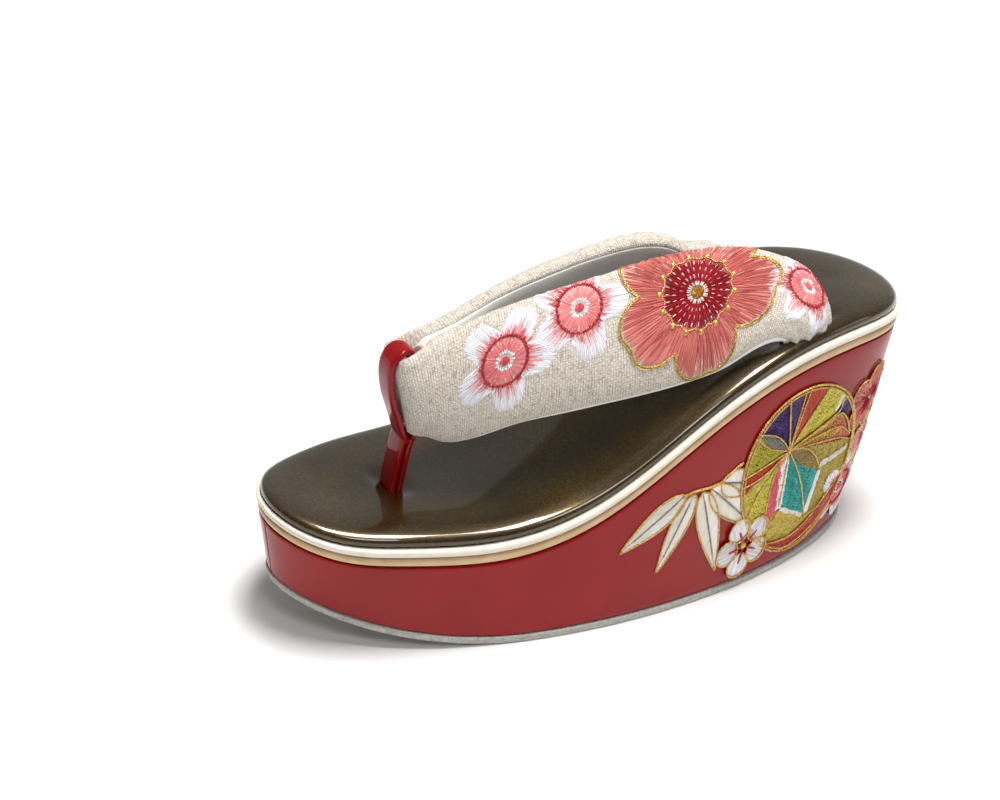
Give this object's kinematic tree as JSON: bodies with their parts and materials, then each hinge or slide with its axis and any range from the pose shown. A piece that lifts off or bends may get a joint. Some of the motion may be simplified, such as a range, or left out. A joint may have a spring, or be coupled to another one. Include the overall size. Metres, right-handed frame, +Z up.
{
  "type": "platform zori sandal",
  "caption": "Left-foot wedge-soled formal zori with lacquered platform, ivory and tan edge bands, cushioned footbed and a padded embroidered thong strap.",
  "frame": {"origin": "on the ground under the middle of the sandal's box", "axes": "+X to the toe, +Y to the wearer's left (the outer side), +Z up"},
  "size_m": [0.24, 0.0936, 0.119],
  "materials": {
    "outsole": "grey suede split, buffed, with a raw cut edge",
    "wedge": "red enamelled patent covering, high gloss",
    "band_tan": "tan enamelled edge band, glossy",
    "band_white": "ivory enamelled edge band, glossy",
    "footbed": "bronze-olive pearl patent, high gloss",
    "strap": "slubby undyed linen over wadding, cotton lining, silk and gold-thread embroidery",
    "front_thong": "red enamelled band, glossy"
  },
  "bodies": {
    "root": {"outsole": "outsole", "wedge": "wedge", "band_tan": "band_tan", "band_white": "band_white", "footbed": "footbed", "strap": "strap", "front_thong": "front_thong"}
  },
  "joints": []
}
